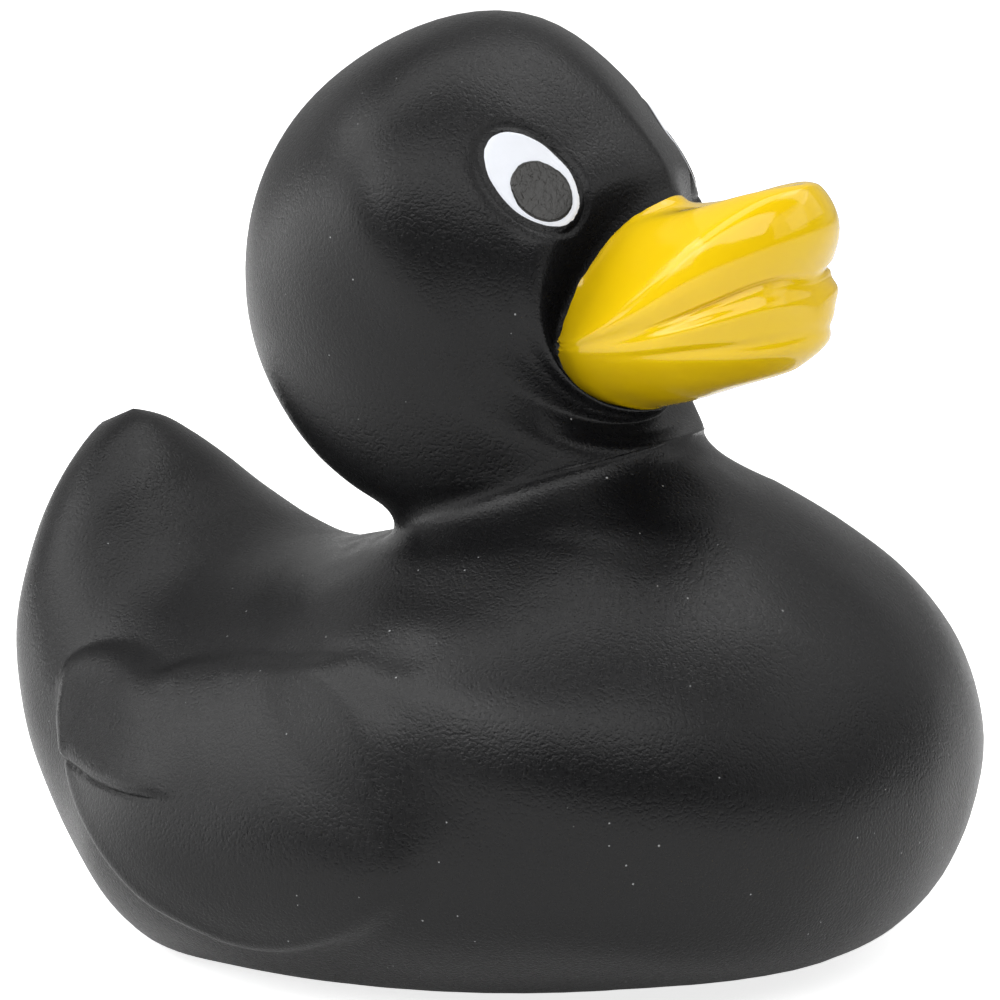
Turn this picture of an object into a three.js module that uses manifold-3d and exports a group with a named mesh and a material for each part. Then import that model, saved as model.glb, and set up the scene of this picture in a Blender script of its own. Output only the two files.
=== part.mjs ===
// A rubber duck: one hollow moulding of soft black PVC, with a sprayed beak, printed eyes and a squeaker.
// Millimetres, +Z up, +X the way the beak points, +Y the duck's left. The flat base stands on z = 0.
import * as THREE from "three";
import { mergeVertices } from "three/addons/utils/BufferGeometryUtils.js";
import Module from "manifold-3d";

const wasm = await Module();
wasm.setup();

// Hull: breast to rump, flank to flank, and the saddle of the back above the table.
const BODY_LENGTH = 84;
const BODY_WIDTH = 68;
const BACK_HEIGHT = 31;

// Tail: how high its point stands above the table.
const TAIL_HEIGHT = 41;

// Base: the rounding between the flat base and the sides.
const BASE_ROUNDING = 1.6;

// Head: a ball, slightly flat at the face, and the place of its centre.
const HEAD_DIAMETER = 39;
const HEAD_SET_BACK = 2;
const HEAD_HEIGHT = 57.5;

// Neck: its width where it is narrowest.
const NECK_WIDTH = 27;

// Beak: its reach in front of the mouth corners, its greatest width, and the rise from the corners to its top.
const BEAK_LENGTH = 19;
const BEAK_WIDTH = 21.6;
const BEAK_RISE = 13.7;

// Mouth corners: how far in front of the head's centre and how far below it.
const MOUTH_SET_FORWARD = 14.2;
const MOUTH_DROP = 5.5;

// Wings: how far each stands out of the flank, and the width of the slope around it.
const WING_RELIEF = 1.2;
const WING_SLOPE = 3.5;

// Eyes: a white oval with a pupil low on it, printed on both sides of the head.
const EYE_LENGTH = 9.5;
const EYE_WIDTH = 6.2;
const EYE_TURN = 42.7;
const EYE_RISE = 26.6;
const EYE_TILT = 39;
const PUPIL_LENGTH = 5.8;
const PUPIL_WIDTH = 4.9;
const PUPIL_DROP = 1.2;

// Groove moulded around each eye, and the rim of bare skin between it and the white.
const GROOVE_WIDTH = 0.9;
const GROOVE_DEPTH = 0.35;
const GROOVE_GAP = 0.15;

// Wall of the moulding, and the thickness of each coat of paint.
const WALL = 2.2;
const PAINT = 0.12;

// Squeaker: a plug pressed into the hole in the base, with a reed on the ledge in its bore.
const HOLE_DIAMETER = 14;
const HOLE_SET_BACK = 4;
const SQUEAKER_RECESS = 0.6;
const FLANGE_OVERLAP = 1.4;
const FLANGE_THICKNESS = 1.2;
const SQUEAKER_HEIGHT = 7;
const SQUEAKER_WALL = 1.4;
const INLET_DIAMETER = 4;
const REED_HEIGHT = 4;
const REED_DIAMETER = 7;
const REED_THICKNESS = 0.3;
const REED_TONGUE = 1.6;
const FIT = 0.1;

// Stations are drawn on a duck of this size, and are stretched to the sizes above.
const DRAWN = {
  length: 84,
  width: 68,
  back: 31,
  tail: 41,
  head: 39,
  neck: 27,
  beak: 19,
  mouth: 21.6,
  rise: 13.7,
};

// Points around half a section between the lines that run along the duck, and the angle of each line.
const LINE_POINTS = [3, 3, 3, 3, 2, 2, 3, 3];
const LINE_ANGLES = [0, 28, 56, 80, 100, 112, 124, 150, 180];

const headX = -HEAD_SET_BACK;
const headScale = HEAD_DIAMETER / DRAWN.head;
const neckScale = NECK_WIDTH / DRAWN.neck;
const backScale = BACK_HEIGHT / DRAWN.back;
const rad = THREE.MathUtils.degToRad;

function halfAngles() {
  const angles = [];
  LINE_POINTS.forEach((count, span) => {
    for (let i = 0; i < count; i++) {
      angles.push(rad(THREE.MathUtils.lerp(LINE_ANGLES[span], LINE_ANGLES[span + 1], i / count)));
    }
  });
  return [...angles, Math.PI];
}

// Half of a round section from a point on the back line to one on the belly line.
function section(back, belly, wide, low = 0, bow = 0) {
  const from = new THREE.Vector2(...back);
  const across = new THREE.Vector2(...belly).sub(from);
  const ahead = new THREE.Vector2(-across.y, across.x).normalize();
  return halfAngles().map((angle) => {
    const s = Math.sin(angle);
    const along = (1 - Math.cos(angle)) / 2 + (low * s * s) / 2;
    const spot = from.clone().addScaledVector(across, along).addScaledVector(ahead, bow * s);
    return new THREE.Vector3(spot.x, wide * s, spot.y);
  });
}

// Half of a beak section, given as reach ahead of, out from and above the mouth corners.
// Its nine points are crown, shoulder, rim, upper face, mouth, lower face, lower rim, jaw and chin.
function lips(rings, ...points) {
  const corner = headX + MOUTH_SET_FORWARD * headScale;
  const height = HEAD_HEIGHT - MOUTH_DROP * headScale;
  const long = BEAK_LENGTH / DRAWN.beak;
  const wide = BEAK_WIDTH / DRAWN.mouth;
  const tall = BEAK_RISE / DRAWN.rise;
  const guides = points.map(([ahead, out, up]) => {
    return new THREE.Vector3(corner + ahead * long, out * wide, height + up * tall);
  });
  const mirrored = guides.slice(1, -1).map((p) => new THREE.Vector3(p.x, -p.y, p.z)).reverse();
  const curve = new THREE.CatmullRomCurve3([...guides, ...mirrored], true, "centripetal");
  const half = [];
  LINE_POINTS.forEach((count, span) => {
    for (let i = 0; i < count; i++) half.push(curve.getPoint((span + i / count) / curve.points.length));
  });
  return { rings, half: [...half, guides[guides.length - 1].clone()] };
}

// A head section from a point on its back line, by angle and reach from the centre, to the throat.
function cheeks(rings, angle, reach, throat, wide, low, bow) {
  const radius = (HEAD_DIAMETER / 2) * reach;
  const back = [headX + radius * Math.cos(rad(angle)), HEAD_HEIGHT + radius * Math.sin(rad(angle))];
  const [x, z] = throat;
  return { rings, half: section(back, [x, z * backScale], wide * headScale, low, bow * headScale) };
}

// A hull section from a point on the back line to one on the breast, keel or rump.
function flanks(rings, back, belly, wide, low) {
  const long = BODY_LENGTH / DRAWN.length;
  const place = ([x, z]) => {
    const tail = THREE.MathUtils.smoothstep(z, DRAWN.back, DRAWN.tail) * THREE.MathUtils.smoothstep(-x, 22, 36);
    return [x * long, THREE.MathUtils.lerp(z * backScale, z * (TAIL_HEIGHT / DRAWN.tail), tail)];
  };
  return { rings, half: section(place(back), place(belly), wide * (BODY_WIDTH / DRAWN.width), low) };
}

// Width and place of the neck, from its nape to its throat.
function collar(rings, nape, throat, wide) {
  const place = ([x, z]) => [x, z * backScale];
  return { rings, half: section(place(nape), place(throat), wide * neckScale, 0.02) };
}

const STATIONS = [
  lips(2, [16.8, 0, 13.3], [17.3, 0, 13.2], [17.6, 0, 12.9], [19.3, 0, 10.0], [17.0, 0, 5.3], [17.9, 0, 4.3],
    [18.3, 0, 1.2], [17.7, 0, -0.3], [16.0, 0, -1.6]),
  lips(3, [16.2, 0, 13.3], [15.8, 2.2, 13.2], [15.5, 5.2, 12.2], [17.3, 5.6, 9.6], [16.0, 5.1, 5.9], [16.6, 5.2, 4.4],
    [16.6, 5.4, 0.6], [15.7, 4.1, -0.7], [14.4, 0, -2.4]),
  lips(3, [12.9, 0, 11.9], [12.2, 4.2, 12.4], [11.7, 9.2, 8.8], [13.0, 9.5, 6.9], [12.3, 8.5, 4.0], [12.7, 9.0, 2.9],
    [12.4, 9.1, 0.6], [11.6, 6.4, -1.8], [11.0, 0, -3.5]),
  lips(3, [9.2, 0, 11.0], [7.3, 5.4, 10.5], [6.2, 10.3, 4.1], [6.7, 10.8, 3.2], [6.4, 10.1, 1.7], [6.6, 10.3, 1.1],
    [6.2, 10.2, 0.1], [6.3, 7.1, -3.1], [7.1, 0, -5.0]),
  lips(2, [6.1, 0, 10.9], [3.4, 5.9, 9.2], [1.6, 10.3, 1.4], [1.7, 10.5, 1.0], [1.6, 10.3, 0.5], [1.5, 10.3, 0.2],
    [1.4, 10.1, -0.3], [1.9, 7.3, -3.3], [4.2, 0, -5.8]),
  lips(2, [4.8, 0, 11.6], [2.3, 6.2, 8.7], [-0.1, 10.2, 0.8], [0, 10.3, 0.5], [0, 10.3, 0], [-0.1, 10.2, -0.2],
    [-0.2, 10.0, -0.6], [0.1, 7.4, -3.9], [3.2, 0, -6.1]),
  cheeks(2, 26, 1.02, [15.9, 45.9], 13.9, -0.07, -3.6),
  cheeks(2, 41, 0.985, [15.5, 45.4], 15.4, -0.07, -3.7),
  cheeks(2, 60, 1.005, [15.3, 45.2], 17.3, -0.09, -3.8),
  cheeks(2, 79.5, 1.06, [15.0, 45.0], 19.2, -0.11, -3.8),
  cheeks(2, 97, 0.997, [14.9, 45.0], 20.6, -0.14, -3.4),
  cheeks(2, 122, 0.95, [15.5, 44.5], 19.7, -0.07, -2.5),
  cheeks(2, 151, 0.958, [15.8, 44.2], 19.2, -0.01, -1.6),
  cheeks(2, 183, 1.007, [16.4, 44.1], 18.2, 0.04, -0.9),
  cheeks(2, 215, 1.075, [17.5, 43.9], 16.5, 0, -0.6),
  cheeks(1, 240.5, 1.09, [17.7, 43.8], 14.7, 0, -0.6),
  collar(1, [-8.1, 35.9], [17.8, 43.6], 13.8),
  collar(1, [-7.0, 34.6], [18.0, 43.1], 13.4),
  collar(1, [-7.4, 33.9], [18.4, 42.3], 13.9),
  collar(2, [-8.3, 33.5], [20.2, 41.1], 15.6),
  flanks(2, [-9.3, 33.3], [24.6, 38.5], 18.9, 0.03),
  flanks(2, [-10.4, 32.9], [30.2, 34.8], 22.6, 0.03),
  flanks(2, [-11.5, 32.6], [35.7, 29.9], 26.8, 0.02),
  flanks(2, [-12.8, 32.2], [39.6, 23.5], 30.3, 0.03),
  flanks(2, [-14.1, 31.9], [41.3, 16.0], 32.0, 0.03),
  flanks(2, [-15.4, 31.6], [39.5, 8.7], 32.6, 0.02),
  flanks(3, [-16.7, 31.3], [35.1, 3.2], 33.1, 0.04),
  flanks(3, [-17.9, 31.1], [22.7, -0.3], 33.9, 0.11),
  flanks(3, [-19.3, 31.0], [8.2, -2.9], 33.7, 0.14),
  flanks(3, [-21.2, 31.1], [-7.9, -3.8], 32.2, 0.16),
  flanks(3, [-23.4, 31.8], [-19.6, -3.5], 28.8, 0.16),
  flanks(2, [-25.9, 33.4], [-29.4, 1.4], 23.8, 0.13),
  flanks(2, [-28.8, 35.6], [-37.8, 10.5], 19.4, 0.11),
  flanks(2, [-31.1, 37.8], [-42.0, 19.9], 15.0, 0.11),
  flanks(2, [-33.0, 39.4], [-42.6, 28.9], 10.1, 0.09),
  flanks(2, [-34.6, 40.5], [-41.2, 35.9], 5.4, 0.06),
  flanks(0, [-36.4, 41.0], [-39.7, 39.5], 0, 0),
];

// The ring where the beak's paint ends, and the ring where the hull begins.
const ringAt = (station) => STATIONS.slice(0, station).reduce((sum, { rings }) => sum + rings, 0);
const PAINTED = ringAt(5);
const NECK_RING = ringAt(18);

// Rings of points, front to back, on smooth lines through all the stations. Each line runs on into its
// mirror image at both ends, so that the tips of the beak and the tail are round.
function loft(stations) {
  const last = stations.length - 1;
  const mirror = ({ x, y, z }) => new THREE.Vector3(x, -y, z);
  const lines = stations[0].half.map((_, k) => {
    const line = stations.map((station) => station.half[k]);
    return new THREE.CatmullRomCurve3([mirror(line[1]), ...line, mirror(line[last - 1])], false, "centripetal");
  });
  const at = (along) => lines.map((line) => line.getPoint((along + 1) / (last + 2)));
  const rings = stations.flatMap((station, i) => {
    return Array.from({ length: station.rings }, (_, j) => at(i + j / station.rings));
  });
  return [...rings, at(last)];
}

// The base is pressed flat, with a rounded edge.
function settle(rings) {
  const r = BASE_ROUNDING;
  for (const p of rings.flat()) {
    p.y = Math.max(p.y, 0);
    if (p.z < r) p.z = p.z <= -r ? 0 : (p.z + r) ** 2 / (4 * r);
  }
  for (const ring of rings) {
    ring[0].y = 0;
    ring[ring.length - 1].y = 0;
  }
  return rings;
}

function outward(rings, i, k) {
  const last = rings[i].length - 1;
  const mirror = (p) => new THREE.Vector3(p.x, -p.y, p.z);
  const ring = rings[i];
  const fore = rings[Math.max(i - 1, 0)][k];
  const aft = rings[Math.min(i + 1, rings.length - 1)][k];
  const above = k > 0 ? ring[k - 1] : mirror(ring[1]);
  const below = k < last ? ring[k + 1] : mirror(ring[last - 1]);
  const normal = below.clone().sub(above).cross(aft.clone().sub(fore));
  if (i === 0 || i === rings.length - 1 || k === 0 || k === last) normal.y = 0;
  if (normal.lengthSq() < 1e-12) normal.set(i === 0 ? 1 : -1, 0, 0);
  return normal.normalize();
}

function offset(rings, distance) {
  const moved = (p, i, k) => p.clone().addScaledVector(outward(rings, i, k), distance);
  return rings.map((ring, i) => ring.map((p, k) => moved(p, i, k)));
}

// Triangles between the rings of a half and its mirror image.
function strip(rings, row, start = 0) {
  const index = [];
  for (let i = 0; i + 1 < rings; i++) {
    for (let k = 0; k < row; k++) {
      const a = start + i * row + k;
      const b = start + i * row + ((k + 1) % row);
      index.push(a, b, a + row, b, b + row, a + row);
    }
  }
  return index;
}

function points(rings) {
  const list = [];
  for (const ring of rings) {
    for (let k = 0; k < ring.length; k++) list.push(ring[k].x, ring[k].y, ring[k].z);
    for (let k = ring.length - 2; k > 0; k--) list.push(ring[k].x, -ring[k].y, ring[k].z);
  }
  return list;
}

function toGeometry(list, index) {
  const geometry = new THREE.BufferGeometry();
  geometry.setAttribute("position", new THREE.Float32BufferAttribute(list, 3));
  geometry.setIndex(index);
  return geometry;
}

function toManifold(geometry) {
  const bare = geometry.clone();
  bare.deleteAttribute("normal");
  bare.deleteAttribute("uv");
  const merged = mergeVertices(bare, 1e-4);
  const triVerts = [];
  for (let i = 0; i < merged.index.count; i += 3) {
    const [a, b, c] = [0, 1, 2].map((j) => merged.index.getX(i + j));
    if (a !== b && b !== c && c !== a) triVerts.push(a, b, c);
  }
  return new wasm.Manifold(new wasm.Mesh({
    numProp: 3,
    vertProperties: new Float32Array(merged.attributes.position.array),
    triVerts: new Uint32Array(triVerts),
  }));
}

function fromManifold(solid) {
  const mesh = solid.getMesh();
  const list = [];
  for (let i = 0; i < mesh.numVert; i++) {
    for (let j = 0; j < 3; j++) list.push(mesh.vertProperties[i * mesh.numProp + j]);
  }
  const geometry = toGeometry(list, [...mesh.triVerts]).toNonIndexed();
  geometry.computeVertexNormals();
  return geometry;
}

const closedSkin = (rings) => toManifold(toGeometry(points(rings), strip(rings.length, 2 * (rings[0].length - 1))));

const hull = settle(loft(STATIONS));

// Outline of a wing seen from the side, drawn on the same duck as the stations.
const WING_OUTLINE = [
  [-29.6, 21.5], [-28.6, 24.4], [-25, 25.5], [-19, 25.2], [-12, 26.6], [-3, 28], [5, 29], [11, 27.5], [15, 22.5],
  [15.6, 17], [13.6, 12.6], [9.3, 8.8], [2, 5.6], [-5.8, 4.9], [-13.6, 6.9], [-19.8, 10.6], [-24.6, 14.8],
  [-27.8, 18.6],
];

function wings(rings) {
  const long = BODY_LENGTH / DRAWN.length;
  const spots = WING_OUTLINE.map(([x, z]) => new THREE.Vector3(x * long, z * backScale, 0));
  const edge = new THREE.CatmullRomCurve3(spots, true, "centripetal").getPoints(56);
  const inside = (x, z) => {
    let odd = false;
    for (let i = 0; i + 1 < edge.length; i++) {
      const a = edge[i];
      const b = edge[i + 1];
      if (a.y > z !== b.y > z && x < a.x + ((z - a.y) / (b.y - a.y)) * (b.x - a.x)) odd = !odd;
    }
    return odd;
  };
  const toEdge = (x, z) => {
    const spot = new THREE.Vector3(x, z, 0);
    const near = new THREE.Vector3();
    let least = Infinity;
    for (let i = 0; i + 1 < edge.length; i++) {
      new THREE.Line3(edge[i], edge[i + 1]).closestPointToPoint(spot, true, near);
      least = Math.min(least, near.distanceTo(spot));
    }
    return least;
  };
  return rings.map((ring, i) => ring.map((p, k) => {
    if (i <= NECK_RING || p.y < BODY_WIDTH / 8 || !inside(p.x, p.z)) return p.clone();
    const soft = 1 + 2 * THREE.MathUtils.smoothstep(p.x / long + 0.8 * (p.z / backScale - 16), -12, 22);
    const height = WING_RELIEF * THREE.MathUtils.smoothstep(toEdge(p.x, p.z), 0, WING_SLOPE * soft);
    return p.clone().addScaledVector(outward(rings, i, k), height);
  }));
}

// The air inside: a ring at each station behind the face, of every other line, a wall's thickness in.
function cavity(rings) {
  const inset = offset(rings, -WALL);
  const last = rings[0].length - 1;
  const kept = [];
  let ring = 0;
  STATIONS.forEach((station, i) => {
    if (i > 6 && i < STATIONS.length - 3) kept.push(inset[ring].filter((_, k) => k % 2 === 0 || k === last));
    ring += station.rings;
  });
  const middle = (ring) => {
    const spot = ring.reduce((sum, p) => sum.add(p), new THREE.Vector3()).divideScalar(ring.length);
    spot.y = 0;
    return ring.map(() => spot.clone());
  };
  return [middle(kept[0]), ...kept, middle(kept[kept.length - 1])];
}

function upright(geometry, x, z) {
  geometry.rotateX(Math.PI / 2);
  geometry.translate(x, 0, z);
  return geometry;
}

const skin = wings(hull);
const outer = closedSkin(skin);
const holeX = -HOLE_SET_BACK;
const holeRadius = HOLE_DIAMETER / 2;
const drill = new THREE.CylinderGeometry(holeRadius, holeRadius, 3 * WALL, 40);
const hole = toManifold(upright(drill, holeX, 0.5 * WALL));

// The eye's own frame: along its axis out of the head, along its length and across it.
function eyeFrame(side) {
  const turn = rad(EYE_TURN);
  const rise = rad(EYE_RISE);
  const axis = new THREE.Vector3(Math.cos(rise) * Math.cos(turn), Math.cos(rise) * Math.sin(turn), Math.sin(rise));
  const inward = new THREE.Vector3(Math.sin(turn), -Math.cos(turn), 0);
  const down = inward.clone().cross(axis);
  if (down.z > 0) down.negate();
  const major = down.multiplyScalar(Math.cos(rad(EYE_TILT))).addScaledVector(inward, Math.sin(rad(EYE_TILT)));
  for (const v of [axis, major]) v.y *= side;
  return { axis, major, minor: major.clone().cross(axis) };
}

// Groove around an eye: a tube laid on the skin along a wider oval.
const skinMesh = new THREE.Mesh(fromManifold(outer));
function eyeGroove(side) {
  const { axis, major, minor } = eyeFrame(side);
  const radius = (GROOVE_WIDTH ** 2 / 4 + GROOVE_DEPTH ** 2) / (2 * GROOVE_DEPTH);
  const out = GROOVE_GAP + GROOVE_WIDTH / 2;
  const spots = [];
  for (let i = 0; i < 24; i++) {
    const turn = (i / 24) * 2 * Math.PI;
    const start = new THREE.Vector3(headX, 0, HEAD_HEIGHT).addScaledVector(axis, HEAD_DIAMETER);
    start.addScaledVector(major, (EYE_LENGTH / 2 + out) * Math.cos(turn));
    start.addScaledVector(minor, (EYE_WIDTH / 2 + out) * Math.sin(turn));
    const hit = new THREE.Raycaster(start, axis.clone().negate()).intersectObject(skinMesh)[0];
    spots.push(hit.point.addScaledVector(axis, radius - GROOVE_DEPTH));
  }
  const path = new THREE.CatmullRomCurve3(spots, true, "centripetal");
  return toManifold(new THREE.TubeGeometry(path, 48, radius, 7, true));
}

const hollow = outer.subtract(closedSkin(cavity(hull))).subtract(hole);
const body = hollow.subtract(eyeGroove(1)).subtract(eyeGroove(-1));

// Beak paint: one coat over the beak, closed along its edge on the face.
function coat(rings) {
  const row = 2 * (rings[0].length - 1);
  const top = offset(rings, PAINT).slice(0, PAINTED + 1);
  const bed = rings.slice(0, PAINTED + 1);
  const start = (PAINTED + 1) * row;
  const index = strip(PAINTED + 1, row);
  for (const i of strip(PAINTED + 1, row, start)) index.push(i);
  for (let i = index.length / 2; i < index.length; i += 3) [index[i], index[i + 1]] = [index[i + 1], index[i]];
  for (let k = 0; k < row; k++) {
    const a = PAINTED * row + k;
    const b = PAINTED * row + ((k + 1) % row);
    index.push(a, b, a + start, b, b + start, a + start);
  }
  return toGeometry([...points(top), ...points(bed)], index);
}

// Eye paint: what an oval punch along the eye's axis takes out of one coat over the head.
function eyePrint(side, length, width, drop, under, over) {
  const { axis, major, minor } = eyeFrame(side);
  const punch = new THREE.CylinderGeometry(1, 1, HEAD_DIAMETER, 40);
  punch.scale(length / 2, 1, width / 2);
  punch.translate(drop, HEAD_DIAMETER / 2, 0);
  punch.applyMatrix4(new THREE.Matrix4().makeBasis(major, axis, minor));
  punch.translate(headX, 0, HEAD_HEIGHT);
  return fromManifold(toManifold(punch).intersect(over).subtract(under));
}

// Squeaker plug, turned about the hole's axis.
function plug() {
  const neck = holeRadius - FIT;
  const flange = holeRadius + FLANGE_OVERLAP;
  const barrel = REED_DIAMETER / 2 + FIT + SQUEAKER_WALL;
  const inlet = INLET_DIAMETER / 2;
  const seat = WALL + FIT;
  const profile = [
    [inlet, SQUEAKER_RECESS], [neck, SQUEAKER_RECESS], [neck, seat], [flange, seat],
    [flange, seat + FLANGE_THICKNESS], [barrel, seat + FLANGE_THICKNESS], [barrel, SQUEAKER_RECESS + SQUEAKER_HEIGHT],
    [REED_DIAMETER / 2 + FIT, SQUEAKER_RECESS + SQUEAKER_HEIGHT], [REED_DIAMETER / 2 + FIT, REED_HEIGHT],
    [inlet, REED_HEIGHT], [inlet, SQUEAKER_RECESS],
  ];
  const geometry = new THREE.LatheGeometry(profile.map(([r, z]) => new THREE.Vector2(r, z)), 40);
  return upright(geometry, holeX, 0);
}

// Reed: a thin disc with a tongue freed by a U-shaped slit.
function reed() {
  const disc = new THREE.Shape().absarc(0, 0, REED_DIAMETER / 2, 0, 2 * Math.PI);
  const half = REED_TONGUE / 2;
  const slit = half + 2 * REED_THICKNESS;
  const reach = INLET_DIAMETER / 2;
  const cut = new THREE.Path();
  cut.moveTo(-reach, half);
  cut.lineTo(-reach, slit);
  cut.lineTo(reach + 2 * REED_THICKNESS, slit);
  cut.lineTo(reach + 2 * REED_THICKNESS, -slit);
  cut.lineTo(-reach, -slit);
  cut.lineTo(-reach, -half);
  cut.lineTo(reach, -half);
  cut.lineTo(reach, half);
  disc.holes.push(cut);
  const geometry = new THREE.ExtrudeGeometry(disc, { depth: REED_THICKNESS, bevelEnabled: false, curveSegments: 20 });
  geometry.translate(holeX, 0, REED_HEIGHT);
  return geometry;
}

const duck = new THREE.Group();
function add(name, geometry, color, roughness) {
  const mesh = new THREE.Mesh(geometry, new THREE.MeshStandardMaterial({ color, roughness, metalness: 0 }));
  mesh.name = name;
  duck.add(mesh);
}

const firstCoat = closedSkin(offset(skin, PAINT));
const secondCoat = closedSkin(offset(skin, 2 * PAINT));
const beakParts = toManifold(coat(skin)).subtract(outer).decompose();
const [beakPaint] = beakParts.sort((a, b) => b.volume() - a.volume());

add("body", fromManifold(body), 0x2e2f30, 0.6);
add("beak_paint", fromManifold(beakPaint), 0xf0cf14, 0.2);
for (const [side, hand] of [[1, "left"], [-1, "right"]]) {
  add(`eye_white_${hand}`, eyePrint(side, EYE_LENGTH, EYE_WIDTH, 0, outer, firstCoat), 0xf1f3f6, 0.35);
  add(`pupil_${hand}`, eyePrint(side, PUPIL_LENGTH, PUPIL_WIDTH, PUPIL_DROP, firstCoat, secondCoat), 0x26241f, 0.25);
}
add("squeaker_plug", plug(), 0xe9e6da, 0.5);
add("squeaker_reed", reed(), 0xd8d4c6, 0.4);

// The frame's origin lies under the middle of the duck's outline.
const box = new THREE.Box3().setFromObject(duck);
duck.position.set(-(box.min.x + box.max.x) / 2, 0, -box.min.z);

export default duck;
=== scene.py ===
"""Rubber duck: soft black vinyl moulding, an enamelled beak, printed eyes and a squeaker in the base."""

import math

import bpy
import numpy as np
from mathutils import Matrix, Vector
from mathutils.bvhtree import BVHTree


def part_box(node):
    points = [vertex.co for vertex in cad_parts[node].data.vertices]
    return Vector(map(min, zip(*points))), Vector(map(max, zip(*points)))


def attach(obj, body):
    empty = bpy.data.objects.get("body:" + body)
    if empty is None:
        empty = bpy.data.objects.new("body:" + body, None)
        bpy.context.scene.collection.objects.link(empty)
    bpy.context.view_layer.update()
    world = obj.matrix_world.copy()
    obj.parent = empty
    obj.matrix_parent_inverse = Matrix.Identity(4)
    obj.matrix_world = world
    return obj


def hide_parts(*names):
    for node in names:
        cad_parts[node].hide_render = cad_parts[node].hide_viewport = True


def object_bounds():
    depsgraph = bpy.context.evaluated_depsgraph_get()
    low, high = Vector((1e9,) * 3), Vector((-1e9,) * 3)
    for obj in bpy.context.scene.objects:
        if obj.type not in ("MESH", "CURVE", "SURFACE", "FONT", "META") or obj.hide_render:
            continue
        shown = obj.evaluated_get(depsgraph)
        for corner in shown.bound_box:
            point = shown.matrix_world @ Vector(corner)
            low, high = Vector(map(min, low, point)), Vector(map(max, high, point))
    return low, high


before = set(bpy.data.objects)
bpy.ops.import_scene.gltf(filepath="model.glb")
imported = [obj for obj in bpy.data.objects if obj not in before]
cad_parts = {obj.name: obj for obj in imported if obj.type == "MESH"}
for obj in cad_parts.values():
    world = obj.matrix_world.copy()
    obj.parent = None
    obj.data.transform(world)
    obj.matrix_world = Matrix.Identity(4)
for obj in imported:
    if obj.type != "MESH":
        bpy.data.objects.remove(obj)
CAD_BOX = [list(corner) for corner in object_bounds()]

bl_info = {
    "name": "Rubber duck",
    "version": (1, 0, 0),
    "blender": (4, 5, 0),
    "location": "View3D > Sidebar > Duck",
    "description": "Builds a vinyl duck with an enamelled beak, printed eyes and a squeaker",
    "category": "Add Mesh",
}

MM = 0.001

# The skin's stations, in millimetres. A beak station has nine points: crown, shoulder, rim, upper face,
# mouth, lower face, lower rim, jaw and chin. Each is measured ahead, out and up from the mouth's corner.
CORNER = (12.2, 52.0)
BEAK = (
    ((16.8, 0, 13.3), (17.3, 0, 13.2), (17.6, 0, 12.9), (19.3, 0, 10.0), (17.0, 0, 5.3), (17.9, 0, 4.3),
     (18.3, 0, 1.2), (17.7, 0, -0.3), (16.0, 0, -1.6)),
    ((16.2, 0, 13.3), (15.8, 2.2, 13.2), (15.5, 5.2, 12.2), (17.3, 5.6, 9.6), (16.0, 5.1, 5.9),
     (16.6, 5.2, 4.4), (16.6, 5.4, 0.6), (15.7, 4.1, -0.7), (14.4, 0, -2.4)),
    ((12.9, 0, 11.9), (12.2, 4.2, 12.4), (11.7, 9.2, 8.8), (13.0, 9.5, 6.9), (12.3, 8.5, 4.0),
     (12.7, 9.0, 2.9), (12.4, 9.1, 0.6), (11.6, 6.4, -1.8), (11.0, 0, -3.5)),
    ((9.2, 0, 11.0), (7.3, 5.4, 10.5), (6.2, 10.3, 4.1), (6.7, 10.8, 3.2), (6.4, 10.1, 1.7),
     (6.6, 10.3, 1.1), (6.2, 10.2, 0.1), (6.3, 7.1, -3.1), (7.1, 0, -5.0)),
    ((6.1, 0, 10.9), (3.4, 5.9, 9.2), (1.6, 10.3, 1.4), (1.7, 10.5, 1.0), (1.6, 10.3, 0.5),
     (1.5, 10.3, 0.2), (1.4, 10.1, -0.3), (1.9, 7.3, -3.3), (4.2, 0, -5.8)),
    ((4.8, 0, 11.6), (2.3, 6.2, 8.7), (-0.1, 10.2, 0.8), (0, 10.3, 0.5), (0, 10.3, 0), (-0.1, 10.2, -0.2),
     (-0.2, 10.0, -0.6), (0.1, 7.4, -3.9), (3.2, 0, -6.1)),
)
HEAD = (-2.0, 57.5)
HEAD_RADIUS = 19.5
# Head stations: angle round the head in degrees, reach in radii, throat point, half width, how low the
# widest place lies, and how far the station bows ahead.
CHEEKS = (
    (26, 1.02, (15.9, 45.9), 13.9, -0.07, -3.6),
    (41, 0.985, (15.5, 45.4), 15.4, -0.07, -3.7),
    (60, 1.005, (15.3, 45.2), 17.3, -0.09, -3.8),
    (79.5, 1.06, (15.0, 45.0), 19.2, -0.11, -3.8),
    (97, 0.997, (14.9, 45.0), 20.6, -0.14, -3.4),
    (122, 0.95, (15.5, 44.5), 19.7, -0.07, -2.5),
    (151, 0.958, (15.8, 44.2), 19.2, -0.01, -1.6),
    (183, 1.007, (16.4, 44.1), 18.2, 0.04, -0.9),
    (215, 1.075, (17.5, 43.9), 16.5, 0, -0.6),
    (240.5, 1.09, (17.7, 43.8), 14.7, 0, -0.6),
)
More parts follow.
